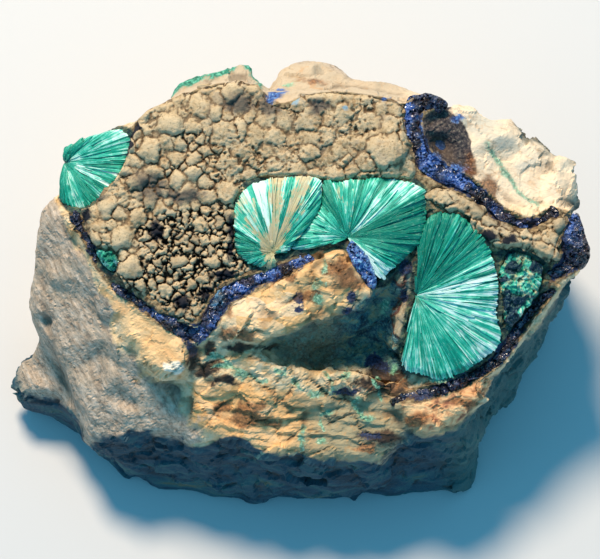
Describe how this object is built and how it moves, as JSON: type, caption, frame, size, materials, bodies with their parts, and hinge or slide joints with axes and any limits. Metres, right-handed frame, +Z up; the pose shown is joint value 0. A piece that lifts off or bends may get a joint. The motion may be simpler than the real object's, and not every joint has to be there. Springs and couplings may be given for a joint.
{
  "type": "tyrolite mineral specimen",
  "caption": "Loose hand specimen of broken limestone with a nodular tan crust, dark azurite rims and flat radiating fans of green tyrolite on its top face.",
  "frame": {"origin": "centre of the bounding box at the level of the flat underside that the stone rests on", "axes": "+X along the specimen's length, to the right seen from the front; +Y toward its back; +Z up"},
  "size_m": [0.0635, 0.0441, 0.0321],
  "materials": {
    "limestone": "matte",
    "tan_crust": "matte",
    "azurite": "satin",
    "tyrolite": "satin"
  },
  "bodies": {
    "root": {"matrix_rock": "limestone", "tan_crust": "tan_crust", "tan_crust_right": "tan_crust", "azurite_rim_front": "azurite", "azurite_rim_back": "azurite", "azurite_tip": "azurite", "azurite_wedge": "azurite", "azurite_seam_lower": "azurite", "tyrolite_fan_left": "tyrolite", "tyrolite_fan_streaked": "tyrolite", "tyrolite_fan_centre": "tyrolite", "tyrolite_fan_right": "tyrolite", "tyrolite_tuft_right": "tyrolite", "tyrolite_button": "tyrolite"}
  },
  "joints": []
}
